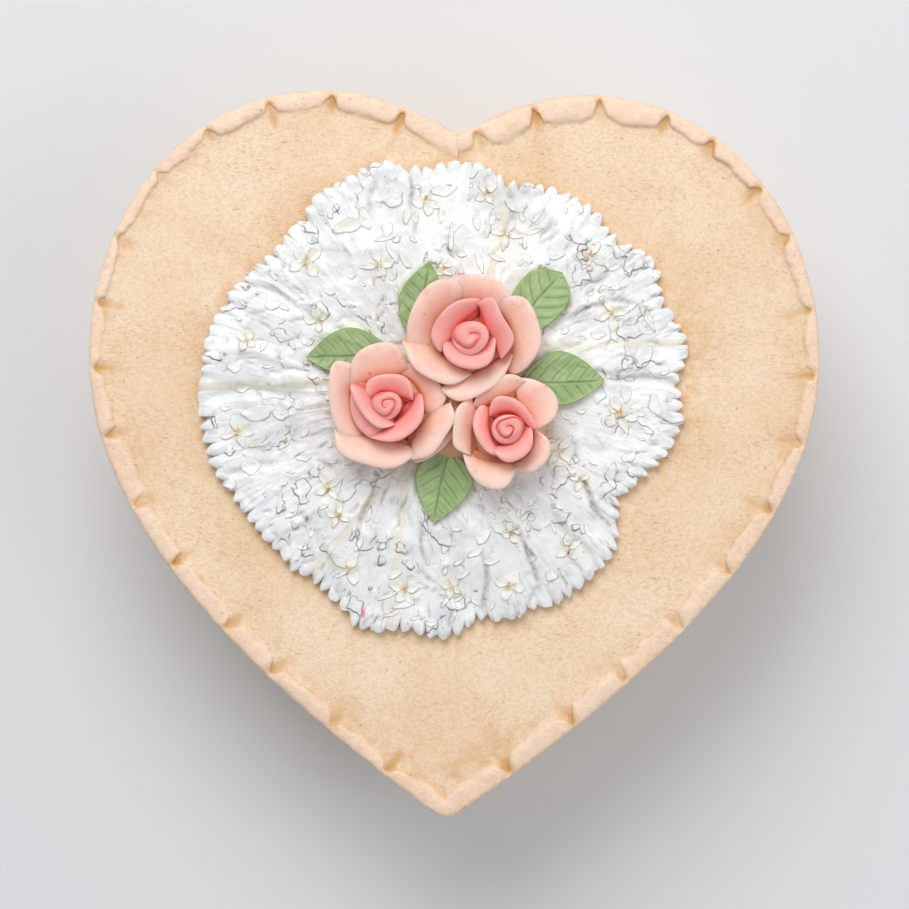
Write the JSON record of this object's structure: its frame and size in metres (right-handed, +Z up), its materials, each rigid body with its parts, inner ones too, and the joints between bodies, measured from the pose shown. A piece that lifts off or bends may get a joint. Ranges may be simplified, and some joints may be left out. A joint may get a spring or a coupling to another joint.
{
  "type": "heart trinket box",
  "caption": "Heart-shaped trinket box in painted resin, with a lift-off lid that carries a pleated rim, a gathered lace ruffle, roses and leaves.",
  "frame": {"origin": "under the middle of the whole part's box, on the surface that it stands on", "axes": "+Z up through the lid, +Y towards the heart's cleft, -Y towards its tip"},
  "size_m": [0.1148, 0.114, 0.049],
  "materials": {
    "resin": "cream polyresin, antiqued with tan, satin",
    "lace_paint": "white paint on resin, cream in the creases, satin",
    "petal_paint": "peach and coral paint on resin, satin",
    "leaf_paint": "sage green paint on resin, satin"
  },
  "bodies": {
    "root": {"box": "resin", "lid": "resin", "lid_lip": "resin"}
  },
  "joints": []
}
